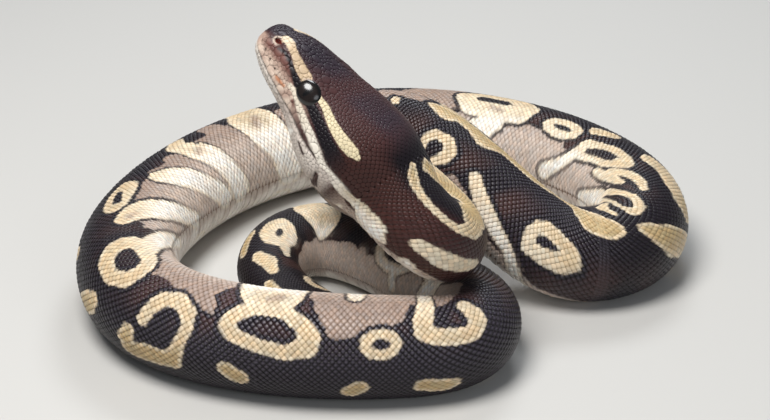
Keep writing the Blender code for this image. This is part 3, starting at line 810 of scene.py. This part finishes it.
# ---------------------------------------------------------------- the head's relief, and the skin
COAT_DEPTH = 0.45
EYE_AT = (22.2, 64.5)
EYE_SINK = 1
FAR_EYE_SINK = 1.45
EYE_FLAT = 1.88
EYE_LONG = 4.20
EYE_WIDE = 3.45
BROW_LIFT = 0.22
BROW_AT = (22.2, 41.5)
SKIN_SIDES = 120
HEAD_SKIN_STEP = 0.4
BODY_SKIN_STEP = 1.6
HEAD_SKIN_END = 62
GROOVE_DEPTH = 0.9
GROOVE_HALF = 0.45
GROOVE_END = 39
TUCK_DEPTH = 0.35
CREASE_DEPTH = 0.45
CREASE_AT = 41.2
CREASE_HALF = 0.7
# Distance, angle, radius and depth of each round hole.
NOSTRIL = (5.3, 43, 1.35, 1.5)
HEAT_PITS = (
    (1.6, 84, 0.45, 0.55), (4.4, 88, 0.5, 0.6), (7.4, 90, 0.5, 0.6), (10.4, 92, 0.5, 0.6),
)


def pit_share(distance, side, pit):
    """How deep inside a round pit a place is, from 0 at its rim to 1 in its middle."""
    return clamp(1 - head_gap(distance, side, pit) / pit[2])


def head_relief(distance, angle):
    """Lift of the head's skin at an angle in degrees: brow, mouth groove, crease and pits."""
    side = np.abs(angle)
    gap = lip_gap(distance, side)
    groove = np.exp(-(gap / GROOVE_HALF) ** 2) * smooth(distance, GROOVE_END, GROOVE_END - 4)
    tuck = smooth(gap, 0, 0.6) * smooth(gap, 5, 2) * smooth(distance, 36, 20)
    crease = np.exp(-((distance - CREASE_AT) / CREASE_HALF) ** 2)
    crease = crease * smooth(side, 102, 108) * smooth(side, 160, 140)
    brow = head_gap(distance, side, BROW_AT)
    lift = (BROW_LIFT * smooth(brow, 4.5, 1) - GROOVE_DEPTH * groove - TUCK_DEPTH * tuck
            - CREASE_DEPTH * crease)
    for pit in (NOSTRIL,) + HEAT_PITS:
        lift = lift - pit[3] * np.sqrt(pit_share(distance, side, pit))
    return lift * smooth(distance, 47, 40)


def head_shade(distance, angle, colour):
    """Paints shade into the mouth groove, the heat pits and the nostril, pales the nostril's rim,
    and paints light on the eye's upper rim.
    """
    side = np.abs(angle)
    gap = np.abs(lip_gap(distance, side))
    hole = head_gap(distance, side, NOSTRIL)
    eye = head_gap(distance, side, EYE_AT)
    nostril = pit_share(distance, side, NOSTRIL)
    # Painted shade in each heat pit.
    pit_shades = [value for pit in HEAT_PITS
            for value in (PAINTED_HOLLOW_SHADE, 0.9 * smooth(pit_share(distance, side, pit), 0.1, 0.5))]
    # Painted shade along the mouth groove.
    line = smooth(gap, 0.5, 0.15) * smooth(distance, GROOVE_END + 1, GROOVE_END - 3)
    hole_rim = smooth(hole, 1.05, 1.25) * smooth(hole, 2.1, 1.6) * smooth(distance, 6.8, 5)
    # Painted light along the upper rim of the eye.
    eye_rim_light = smooth(eye, 3, 3.3) * smooth(eye, 4.2, 3.8) * smooth(side, 62, 52)
    return blend(colour, PAINTED_HOLLOW_SHADE, 0.85 * line, LIP_CREAM, 0.8 * hole_rim,
                 PAINTED_EYE_RIM_LIGHT, 0.45 * eye_rim_light, *pit_shades, NOSTRIL_SHADE_RED, smooth(nostril, 0.06, 0.3),
                 PAINTED_HOLLOW_SHADE, 0.9 * smooth(nostril, 0.35, 0.8))


def eye_axes(side):
    """The middle of an eye, the way it looks, and two directions across it."""
    start = BODY.surface(EYE_AT[0], math.radians(EYE_AT[1] * side))
    placed, normal, _ = BODY.head_drop(start, EYE_AT[0])
    along = BODY.frame(EYE_AT[0])[3]
    first = unit(along - normal * dot(along, normal))
    sink = EYE_SINK if side > 0 else FAR_EYE_SINK
    return placed - normal * sink, normal, first, np.cross(normal, first)


def eye_hollow(points):
    """Pushes points under or in front of an eye back into its socket."""
    moved = points
    for side in (1, -1):
        eye, axis, _, _ = eye_axes(side)
        offset = moved - eye
        height = dot(offset, axis)
        flat = offset - axis * height[..., None]
        inside = (np.linalg.norm(flat, axis=-1) < EYE_WIDE - 0.35) & (height > -2)
        pushed = eye + flat + axis * np.minimum(height, -0.5)[..., None]
        moved = np.where(inside[..., None], pushed, moved)
    return moved


def skin_uv(distance, turn):
    """The unwrap of the whole skin: strips of equal length, one under the other."""
    place = (distance - SNOUT_POLE) / STRIP_LENGTH
    strips = math.ceil((BODY.length - SNOUT_POLE) / STRIP_LENGTH)
    strip = np.floor((distance.mean(axis=1) - SNOUT_POLE) / STRIP_LENGTH)[:, None]
    return np.stack([clamp(place - strip), (strip + 0.02 + 0.96 * turn) / strips], axis=-1)


def make_skin(material):
    rows = np.concatenate([[SNOUT_POLE + 0.02], np.arange(-3.3, HEAD_SKIN_END, HEAD_SKIN_STEP),
                           np.arange(HEAD_SKIN_END, BODY.length - 0.2, BODY_SKIN_STEP),
                           [BODY.length]])
    distance = np.repeat(rows, SKIN_SIDES)
    angle = np.tile(np.linspace(-180, 180, SKIN_SIDES, endpoint=False), len(rows))
    lift = head_relief(np.minimum(distance, 60), angle) - COAT_DEPTH
    points = BODY.surface(distance, np.radians(angle), lift)
    head = distance < HEAD_LENGTH
    points[head] = eye_hollow(points[head])
    colours = pigment(distance, angle)
    colours[head] = head_shade(distance[head], angle[head], colours[head])
    row, column, faces = grid_faces(len(rows), SKIN_SIDES)
    uvs = skin_uv(rows[row], column / SKIN_SIDES)
    # The skin between the scales is darker than the markings above it: partly its own colour and
    # partly painted shade in the grooves, least under pale marks and on the head.
    light = colours.mean(axis=1)
    warm = blend(colours * 0.50, colours * (0.62, 0.45, 0.36), light,
                 colours * 0.80, smooth(light, 0.50, 0.76),
                 colours * 0.88, smooth(distance, 50, 40))
    skin = make_object("skin", points, faces, warm, uvs, material)
    close_ends(skin)
    flesh = [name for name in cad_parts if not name.startswith("eye_")]
    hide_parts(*flesh)


# ---------------------------------------------------------------- scales of the body
DORSAL_ROWS = 65
TAIL_ROWS = 39
ROW_GROWTH = 0.20
SCALE_PITCH = 0.112
SCALE_CORNERS = 8
SCALE_RINGS = ((1, 0), (0.80, 0.72), (0.45, 1), (0, 1.06))
SCALE_POWER = 2 / 1.32
SCALE_HEIGHT = 0.36
SCALE_LIE = 0.10
SCALE_BASE = 0.06
TAILWARD = 1.17
HEADWARD = 0.98
EDGE_PLACE = 0.66
# For each ring of a scale, from its rim to its middle: how much of the colour comes from the rim's
# own place, how bright it is (painted shade at the rim, painted light towards the middle), and how
# much painted glint it gets.
RING_SHARES = (1, 0.9, 0.45, 0)
RING_PAINTED_LIGHT = (0.55, 1, 1.10, 1.14)
RING_PAINTED_GLINTS = (0, 0, 0.38, 1)
# How much less painted rim shade the pale scales get.
PALE_RIM_SHADE_LIFT = 0.30
# Tint of the painted rim shade, pinkish brown.
RIM_TINT = (1, 0.86, 0.78)
# Colour of the painted glint: a bluish highlight painted into the middles of the scales.
PAINTED_GLINT = np.array([0.034, 0.031, 0.040])
# How strongly the painted glint shows on the middles of the dark scales: distance, share.
PAINTED_GLINT_SHARES = (
    (56, 0), (90, 0.4), (195, 0.9), (215, 1.4), (232, 1.4), (245, 0.5), (330, 0.3), (430, 0.5),
    (540, 0.8), (575, 2.2), (650, 1.9), (700, 0.4), (830, 0.4),
)
COAT_START = 56
SCUTE_START = 47
SCUTE_HALF_ANGLE = 33
SCUTE_SPREAD = 1.03
SCUTE_ACROSS = 17
SCUTE_PITCH = 0.20
SCUTE_BASE = 0.08
# Along the scute and above the skin, as shares of its length and in millimetres.
SCUTE_PROFILE = (
    (-0.50, 0.04), (-0.2, 0.14), (0.2, 0.24), (0.46, 0.32), (0.58, 0.26), (0.57, 0.02),
)


def cross_rows(start, end, pitch):
    """Distances of cross rows and the steps between them, closer where the body is thinner."""
    places = [start]
    while places[-1] < end:
        places.append(places[-1] + pitch * BODY.radius(places[-1]))
    return np.array(places), np.gradient(places)


def body_lattice(start, end, count):
    """Middles of the scales between two distances: distance, angle, half length, half width."""
    share = np.linspace(-1, 1, count + 2)[1:-1]
    angles = (180 - SCUTE_HALF_ANGLE) * ((1 - ROW_GROWTH) * share + ROW_GROWTH * share ** 3)
    cross, pitch = cross_rows(start, end, SCALE_PITCH)
    row = np.tile(np.arange(count), len(cross))
    half_length = 0.5 * np.repeat(pitch, count)
    distance = np.repeat(cross, count) + (row % 2) * half_length
    half_width = np.gradient(angles)[row] * np.radians(1) * BODY.radius(distance)
    return distance, angles[row] + twist(distance), half_length, half_width


def scale_plates(distance, angle, half_length, half_width, random):
    """Points of domed lozenge scales that lie back over each other."""
    turns = circle(SCALE_CORNERS)
    parts = []
    tilt = random.uniform(0.85, 1.15, len(distance))[:, None]
    for reach, rise in SCALE_RINGS:
        size = SCALE_CORNERS if reach else 1
        x = (signed_power(np.cos(turns), SCALE_POWER) * reach)[:size]
        y = (signed_power(np.sin(turns), SCALE_POWER) * reach)[:size]
        along = half_length[:, None] * x * np.where(x > 0, TAILWARD, HEADWARD)
        across = half_width[:, None] * y * 0.97
        height = (SCALE_HEIGHT * rise + SCALE_LIE * x) * (half_length[:, None] / 1.05) * tilt
        parts.append(np.stack([along, across, height - COAT_DEPTH + SCALE_BASE]))
    along, across, lift = np.concatenate(parts, axis=-1)
    turn = np.radians(angle)[:, None] + across / BODY.radius(distance)[:, None]
    points = BODY.surface((distance[:, None] + along).ravel(), turn.ravel(), lift.ravel())
    return points, along, across


def scale_colours(distance, angle, along, across, random):
    """Colours of the scales' points: mostly one for each, with a painted-light middle and a
    painted-shade rim.
    """
    count, each = along.shape
    own = pigment(distance, wrapped(angle))
    edge_turn = EDGE_PLACE * across[:, :SCALE_CORNERS] / BODY.radius(distance)[:, None]
    edge_angle = wrapped(angle[:, None] + np.degrees(edge_turn))
    edge_distance = distance[:, None] + EDGE_PLACE * along[:, :SCALE_CORNERS]
    edge = pigment(edge_distance.ravel(), edge_angle.ravel()).reshape(count, SCALE_CORNERS, 3)
    own_each = own[:, None, :]
    rings = [own_each + (edge - own_each) * share for share in RING_SHARES]
    base = np.concatenate(rings, axis=1)[:, :each]
    base = base * random.uniform(0.86, 1.12, (count, 1, 1))
    base = base * (1 + random.uniform(-0.05, 0.05, (count, 1, 1)) * (1, 0, -1))
    ring_number = np.arange(each) // SCALE_CORNERS
    # Painted shade on each scale's rim and painted light towards its middle.
    shade = np.tile(np.take(RING_PAINTED_LIGHT, ring_number), (count, 1))
    shade[:, :SCALE_CORNERS] += PALE_RIM_SHADE_LIFT * smooth(own.mean(axis=1), 0.50, 0.76)[:, None]
    tint = np.where(ring_number[:, None] == 0, RIM_TINT, 1)
    # Painted glint, fading on the far side of the back from distance 500 on, which lies in shade.
    shine = lookup(PAINTED_GLINT_SHARES, distance)
    shine = shine * (1 - 0.65 * smooth(wrapped(angle), -30, 20) * (distance > 500))
    painted_glint = PAINTED_GLINT * (np.take(RING_PAINTED_GLINTS, ring_number) * shine[:, None])[..., None]
    return (base * shade[..., None] * tint + painted_glint).reshape(-1, 3)


def make_coat(name, start, end, count, material, random):
    """One stretch of the coat of small scales."""
    distance, angle, half_length, half_width = body_lattice(start, end, count)
    points, along, across = scale_plates(distance, angle, half_length, half_width, random)
    faces = plate_faces(len(distance), SCALE_CORNERS, len(SCALE_RINGS) - 1)
    colours = scale_colours(distance, angle, along, across, random)
    uvs = patch_uvs(distance.min() - 2, distance.max() + 2, distance, angle,
                    np.stack([along, across], axis=-1), faces)
    make_object(name, points, faces, colours, uvs, material)


def make_scutes(start, end, material):
    """The broad scales of the belly, each a curved plate with a free hind edge."""
    cross, pitch = cross_rows(start, end, SCUTE_PITCH)
    share = np.linspace(-1, 1, SCUTE_ACROSS)
    reach, height = np.transpose(SCUTE_PROFILE)[..., None]
    along = pitch[:, None, None] * (reach * (1 - 0.30 * share ** 4))
    distance = cross[:, None, None] + along
    angle = 180 + SCUTE_HALF_ANGLE * SCUTE_SPREAD * share + twist(distance)
    ends = np.sqrt(clamp(1 - share ** 10))
    lift = np.broadcast_to(height * ends - COAT_DEPTH + SCUTE_BASE, distance.shape)
    points = BODY.surface(distance.ravel(), np.radians(angle).ravel(), lift.ravel())
    faces = grid_faces(len(SCUTE_PROFILE), SCUTE_ACROSS, closed=False)[2]
    faces = copied(faces, len(SCUTE_PROFILE) * SCUTE_ACROSS, len(cross))
    colours = pigment(distance.ravel(), wrapped(angle.ravel()))
    spread = np.stack([0.5 * along, np.broadcast_to(300 * share, along.shape)], axis=-1)
    uvs = patch_uvs(cross.min() - 2, cross.max() + 2, cross, 0 * cross,
                    spread.reshape(len(cross), -1, 2), faces)
    make_object("belly_scutes", points, faces, colours, uvs, material)


# ---------------------------------------------------------------- shields of the head
# Large shields on each side: distance, angle, radius.
SHIELDS = (
    (2.8, 38, 1.20), (4.2, 14, 1.40), (8.2, 16, 1.70), (8.6, 40, 1.50), (3.6, 62, 1.30),
    (7.4, 64, 1.50), (12.2, 13, 1.60), (12.4, 42, 1.50), (16.2, 12, 1.50), (16.4, 46, 1.50),
    (10.9, 66, 1.50), (14.6, 70, 1.40), (18.8, 26, 1.40), (22.2, 25, 1.60), (25.6, 27, 1.40),
    (19.6, 7, 1.40), (5, 164, 1.50), (9, 166, 1.60), (13.2, 168, 1.50),
)
ROSTRAL = (-3.6, 0, 1.70)
LABIAL_PITCH = 3.2
LABIALS = 12
UPPER_LABIAL = 1.70
LOWER_LABIAL = 1.30
OCULARS = 10
OCULAR_REACH = 4.15
SMALL_SCALE = 0.60
BODY_SCALE = 0.75
HEAD_SEED_END = 47
PLATE_CORNERS = 12
PLATE_RINGS = ((1, 0), (0.87, 0.72), (0.50, 0.96), (0, 1))
PLATE_GAP = 0.025
PLATE_BASE = 0.15
NEIGHBOURS = 16
EASE_ROUNDS = 10
TRIES = 30000
CORNER_POWER = 9


def labial_seeds():
    """Shields along the upper and the lower lip."""
    found = []
    for number in range(LABIALS):
        distance = 0.4 + LABIAL_PITCH * number
        lip = lip_angle(distance)
        found.append((distance, lip - 1.65 / per_degree(distance), UPPER_LABIAL))
        if number > 0:
            found.append((distance - 1.2, lip + 1.25 / per_degree(distance), LOWER_LABIAL))
    return found


def head_seeds(random):
    """Middles of the head's shields and scales: points, radii, distances, and which to make.

    Those that aren't made only hold the others back, such as the eyes and the nostrils."""
    points, radii, near, emit = [], [], [], []

    def seed(place, radius, distance, made):
        points.append(place)
        radii.append(radius)
        near.append(distance)
        emit.append(made)

    def place(distance, degrees):
        return BODY.surface(distance, math.radians(degrees))

    seed(place(*ROSTRAL[:2]), ROSTRAL[2], ROSTRAL[0], True)
    for distance, angle, radius in list(SHIELDS) + labial_seeds():
        for side in (1, -1):
            seed(place(distance, angle * side), radius, distance, True)
    for side in (1, -1):
        middle, _, first, second = eye_axes(side)
        for turn in circle(OCULARS, 0.5):
            point = middle + OCULAR_REACH * (np.cos(turn) * first + np.sin(turn) * second)
            seed(BODY.head_drop(point, EYE_AT[0])[0], 0.75, EYE_AT[0], True)
    seed(place(HEAD_SEED_END + 1.4, 180), 1, HEAD_SEED_END + 1.4, False)
    distance, angle, _, _ = body_lattice(HEAD_SEED_END, COAT_START + 5, DORSAL_ROWS)
    for point, s in zip(BODY.surface(distance, np.radians(angle)), distance):
        seed(point, BODY_SCALE, s, s < COAT_START)
    for number in range(5):
        for degrees in (180 - 22, 180, 180 + 22):
            seed(place(SCUTE_START + 1 + 2.6 * number, degrees), 2.6, 52, False)
    for side in (1, -1):
        seed(eye_axes(side)[0], 3.4, EYE_AT[0], False)
    for side in (1, -1):
        seed(place(NOSTRIL[0], NOSTRIL[1] * side), 1.45, NOSTRIL[0], False)
    small, small_near = scattered_seeds(np.array(points), np.array(radii), random)
    made = np.ones(len(small))
    return (np.concatenate([points, small]), np.concatenate([radii, made * SMALL_SCALE]),
            np.concatenate([near, small_near]), np.concatenate([emit, made]) > 0)


def pushes(points, others, reach):
    """How far points are pushed away by others that are nearer than their reach."""
    gap = points[:, None, :] - others[None, :, :]
    far = np.maximum(np.linalg.norm(gap, axis=-1), 1e-6)
    return gap / far[..., None] * clamp(1 - far / reach)[..., None]


def scattered_seeds(fixed, fixed_radii, random):
    """Small scales that fill the head between the shields, evenly but not in rows."""
    distance = SNOUT_POLE + (HEAD_SEED_END - SNOUT_POLE) * random.random(TRIES) ** 0.85
    angle = random.uniform(-math.pi, math.pi, TRIES)
    places = BODY.surface(distance, angle)
    kept = np.zeros((TRIES, 3))
    kept_near = np.zeros(TRIES)
    count = 0
    for point, near in zip(places, distance):
        if np.any(np.sum((fixed - point) ** 2, axis=1) < (fixed_radii + 0.75 * SMALL_SCALE) ** 2):
            continue
        if np.any(np.sum((kept[:count] - point) ** 2, axis=1) < (1.50 * SMALL_SCALE) ** 2):
            continue
        kept[count] = point
        kept_near[count] = near
        count += 1
    kept = kept[:count]
    kept_near = kept_near[:count]
    for _ in range(EASE_ROUNDS):
        moved = np.sum(pushes(kept, kept, 2.35 * SMALL_SCALE), axis=1)
        moved += np.sum(2 * pushes(kept, fixed, fixed_radii + 1.1 * SMALL_SCALE), axis=1)
        kept, _, chart = BODY.head_drop(kept + 0.35 * SMALL_SCALE * moved, kept_near)
        kept_near = chart[0]
    return kept, kept_near


def cell_reach(points, radii, near, chosen):
    """How far each cell reaches on its own tangent plane, with round corners."""
    placed, normal, _ = BODY.head_drop(points[chosen], near[chosen])
    _, left, _, along = BODY.frame(np.maximum(near[chosen], 0))
    first = along - normal * dot(along, normal)[..., None]
    weak = np.linalg.norm(first, axis=-1) < 0.3
    first = unit(np.where(weak[..., None], left - normal * dot(left, normal)[..., None], first))
    second = np.cross(normal, first)
    gaps = np.linalg.norm(points[:, None, :] - points[None, :, :], axis=-1)
    np.fill_diagonal(gaps, np.inf)
    around = np.argsort(gaps, axis=1)[chosen, :NEIGHBOURS]
    offset = points[around] - points[chosen][:, None, :]
    x = dot(offset, first[:, None, :])
    y = dot(offset, second[:, None, :])
    flat = np.maximum(np.hypot(x, y), 1e-6)
    full = np.linalg.norm(offset, axis=-1)
    own = radii[chosen][:, None]
    share = (full ** 2 + own ** 2 - radii[around] ** 2) / (2 * full ** 2)
    reach = np.maximum(np.clip(share, 0.12, 0.9) * flat - PLATE_GAP, 0.08)
    turns = circle(PLATE_CORNERS)
    facing = (x / flat)[..., None] * np.cos(turns) + (y / flat)[..., None] * np.sin(turns)
    pull = np.maximum(facing, 0) / reach[..., None]
    length = np.sum(pull ** CORNER_POWER, axis=1) ** (-1 / CORNER_POWER)
    length = np.minimum(length, 1.5 * own + 0.3)
    return placed, first, second, length * np.cos(turns), length * np.sin(turns)


def make_head_coat(material, random):
    """The shields and small scales of the head, as rounded cells between their neighbours."""
    points, radii, near, emit = head_seeds(random)
    chosen = np.nonzero(emit)[0]
    count = len(chosen)
    placed, first, second, length_way, width_way = cell_reach(points, radii, near, chosen)
    height = np.clip(0.055 + 0.022 * radii[chosen], 0, 0.12)[:, None]
    parts = []
    for reach, rise in PLATE_RINGS:
        size = PLATE_CORNERS if reach else 1
        x = (length_way * reach)[:, :size]
        y = (width_way * reach)[:, :size]
        parts.append(np.stack([x, y, np.broadcast_to(height * rise, x.shape)], axis=-1))
    shape = np.concatenate(parts, axis=1)
    each = shape.shape[1]
    x, y, lift = np.moveaxis(shape, -1, 0)[..., None]
    plates = placed[:, None, :] + x * first[:, None, :] + y * second[:, None, :]
    spots, normal, chart = BODY.head_drop(plates.reshape(-1, 3), np.repeat(near[chosen], each))
    angle = np.degrees(chart[1])
    lift = lift.ravel() - COAT_DEPTH + PLATE_BASE + head_relief(chart[0], angle)
    spots = spots + normal * lift[:, None]
    colours = pigment(chart[0], angle)
    shade = np.repeat(random.uniform(0.93, 1.06, count), each)
    # The plates' rims are darkened a little: painted shade in the grooves between them, most on
    # dark plates.
    rim_shade = np.tile(np.where(np.arange(each) < PLATE_CORNERS, 0.14, 0), count)
    shade = shade * (1 - rim_shade * (1 - 0.7 * smooth(colours.mean(axis=1), 0.1, 0.5)))
    colours = head_shade(chart[0], angle, colours * shade[:, None])
    faces = plate_faces(count, PLATE_CORNERS, len(PLATE_RINGS) - 1)
    _, _, root = BODY.head_drop(points[chosen], near[chosen])
    uvs = patch_uvs(SNOUT_POLE - 1, COAT_START + 4, root[0], np.degrees(root[1]),
                    shape[..., :2], faces)
    make_object("head_scales", spots, faces, colours, uvs, material)


# ---------------------------------------------------------------- eyes
EYE_RINGS = 40
EYE_SIDES = 72
IRIS = srgb(34, 25, 22)
PUPIL = srgb(5, 4, 5)


def make_eye(name, side, material):
    """An eyeball under its spectacle, with a dark iris and an upright slit pupil."""
    centre, axis, first, second = eye_axes(side)
    polar = np.linspace(0.01, math.pi - 0.01, EYE_RINGS)
    theta, phi = np.meshgrid(polar, circle(EYE_SIDES), indexing="ij")
    x = np.sin(theta) * np.cos(phi)
    y = np.sin(theta) * np.sin(phi)
    points = centre + EYE_FLAT * np.cos(theta)[..., None] * axis
    points = points + EYE_LONG * x[..., None] * first + EYE_WIDE * y[..., None] * second
    streaks = 0.75 + 0.25 * np.sin(phi * 23) * np.sin(phi * 7)
    iris = blend(IRIS, PUPIL, smooth(np.hypot(x, y), 0.62, 0.90)) * streaks[..., None]
    slit = (x / 0.16) ** 2 + (y / 0.52) ** 2
    colour = blend(iris, PUPIL, smooth(slit, 1.25, 0.85))
    row, column, faces = grid_faces(EYE_RINGS, EYE_SIDES)
    uvs = np.stack([column / EYE_SIDES, row / (EYE_RINGS - 1)], axis=-1)
    node = "eye_left" if side > 0 else "eye_right"
    if side < 0:
        faces = faces[:, ::-1]
        uvs = uvs[:, ::-1]
    ball = make_object(name, points.reshape(-1, 3), faces, colour.reshape(-1, 3), uvs,
                       material)
    close_ends(ball)
    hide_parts(node)


# ---------------------------------------------------------------- materials
def set_inputs(node, values):
    for name, value in values.items():
        node.inputs[name].default_value = value
    return node


def link(source, output, target, socket):
    target.id_data.links.new(source.outputs[output], target.inputs[socket])


def new_material(name, values):
    """A material, its shader with the given input values, and a maker of further nodes."""
    material = bpy.data.materials.new(name)
    material.use_nodes = True
    nodes = material.node_tree.nodes

    def add(kind, **extra):
        return set_inputs(nodes.new("ShaderNode" + kind), extra)

    return material, set_inputs(nodes["Principled BSDF"], values), add


def paint_node(add):
    """The node that gives the markings, from the colours on the points."""
    paint = add("Attribute")
    paint.attribute_name = COLOUR_NAME
    return paint


def paint_material(name, roughness, bump_height, variation, shine):
    """A skin finish: the markings with a fine mottle, uneven gloss and a fine grain."""
    material, shader, add = new_material(name, {"Specular IOR Level": shine})
    place = add("TexCoord")
    mottle = add("TexNoise", Scale=900, Detail=5, Roughness=0.65)
    link(place, "Object", mottle, "Vector")
    strength = set_inputs(add("MapRange"), {"From Min": 0.25, "From Max": 0.75,
                                            "To Min": 1 - variation, "To Max": 1 + variation})
    link(mottle, "Fac", strength, "Value")
    tinted = add("VectorMath")
    tinted.operation = "SCALE"
    link(paint_node(add), "Color", tinted, 0)
    link(strength, "Result", tinted, "Scale")
    link(tinted, "Vector", shader, "Base Color")
    gloss = set_inputs(add("MapRange"), {"To Min": roughness - 0.10, "To Max": roughness + 0.12})
    link(mottle, "Fac", gloss, "Value")
    link(gloss, "Result", shader, "Roughness")
    grain = add("TexNoise", Scale=3500, Detail=3)
    link(place, "Object", grain, "Vector")
    bump = add("Bump", Strength=0.6, Distance=bump_height)
    link(grain, "Fac", bump, "Height")
    link(bump, "Normal", shader, "Normal")
    return material


def eye_material():
    material, shader, add = new_material("eye_wet", {
        "Roughness": 0.22, "Specular IOR Level": 0.35, "Coat Weight": 0.7, "Coat Roughness": 0.12})
    link(paint_node(add), "Color", shader, "Base Color")
    return material


# ---------------------------------------------------------------- the studio
CAMERA_ELEVATION = math.radians(28)
CAMERA_DISTANCE = 620
CAMERA_AIM = (0, 18.1, 49.6)
LENS = 100
SENSOR = 36
FLOOR_HALF = 3
FLOOR_COLOUR = (0.56, 0.55, 0.53, 1)
SKY_COLOUR = (0.86, 0.92, 1, 1)
SKY_STRENGTH = 0.19
LIGHT_AIM = (0, 0, 0.03)
# Name, place, size, watts and colour.
LIGHTS = (
    ("key", (-0.16, -0.20, 0.66), (0.36, 0.36), 5.2, (1, 0.985, 0.96)),
    ("fill", (0.30, -0.60, 0.34), (0.5, 0.3), 0.8, (0.92, 0.96, 1)),
    ("rim_shade", (0.10, 0.42, 0.55), (0.3, 0.2), 1.8, (0.93, 0.97, 1)),
)


def point_at(thing, place, aim):
    thing.location = place
    thing.rotation_euler = (Vector(aim) - Vector(place)).to_track_quat("-Z", "Y").to_euler()


def add_camera():
    aim = (np.array(CAMERA_AIM) - SHIFT) * METRES_PER_MM
    way = np.array([0, -math.cos(CAMERA_ELEVATION), math.sin(CAMERA_ELEVATION)])
    data = bpy.data.cameras.new("camera")
    data.lens = LENS
    data.sensor_width = SENSOR
    data.clip_start = 0.01
    camera = add_object("camera", data)
    point_at(camera, aim + way * CAMERA_DISTANCE * METRES_PER_MM, aim)
    bpy.context.scene.camera = camera


def add_light(name, place, size, watts, colour):
    data = bpy.data.lights.new(name, "AREA")
    data.shape = "ELLIPSE"
    data.size, data.size_y = size
    data.energy = watts
    data.color = colour
    point_at(add_object(name, data), place, LIGHT_AIM)


def add_studio():
    mesh = bpy.data.meshes.new("floor")
    corners = [(x * FLOOR_HALF, y * FLOOR_HALF, 0) for x, y in ((-1, -1), (1, -1), (1, 1), (-1, 1))]
    mesh.from_pydata(corners, [], [(0, 1, 2, 3)])
    mesh.materials.append(
        new_material("floor_pale", {"Base Color": FLOOR_COLOUR, "Roughness": 0.9})[0])
    floor = add_object("floor", mesh)
    world = bpy.data.worlds.new("studio")
    world.use_nodes = True
    set_inputs(world.node_tree.nodes["Background"], {"Color": SKY_COLOUR, "Strength": SKY_STRENGTH})
    bpy.context.scene.world = world
    for light in LIGHTS:
        add_light(*light)
    bpy.context.scene.view_settings.view_transform = "Standard"


# ---------------------------------------------------------------- all together
COAT_BOUNDS = (COAT_START, 150, 240, 330, 420, 505, 590, 672, VENT)
COAT_GAP = 0.6
TIP_LEFT_BARE = 3


def build():
    add_camera()
    add_studio()
    add_wild_marks(RANDOM)
    skin_finish = paint_material("skin_between_scales", 0.60, 0.00003, 0.10, 0.12)
    scale_finish = paint_material("body_scales", 0.33, 0.00002, 0.14, 0.27)
    head_finish = paint_material("head_shields", 0.42, 0.00003, 0.10, 0.28)
    make_skin(skin_finish)
    tip = BODY.length - TIP_LEFT_BARE
    for number, (start, end) in enumerate(zip(COAT_BOUNDS[:-1], COAT_BOUNDS[1:]), start=1):
        make_coat(f"scales_{number:02d}", start, end - COAT_GAP, DORSAL_ROWS, scale_finish,
                  RANDOM)
    make_coat("scales_tail", VENT + 0.5, tip, TAIL_ROWS, scale_finish, RANDOM)
    make_scutes(SCUTE_START, tip, scale_finish)
    make_head_coat(head_finish, RANDOM)
    wet = eye_material()
    make_eye("eye_ball_left", 1, wet)
    make_eye("eye_ball_right", -1, wet)


build()
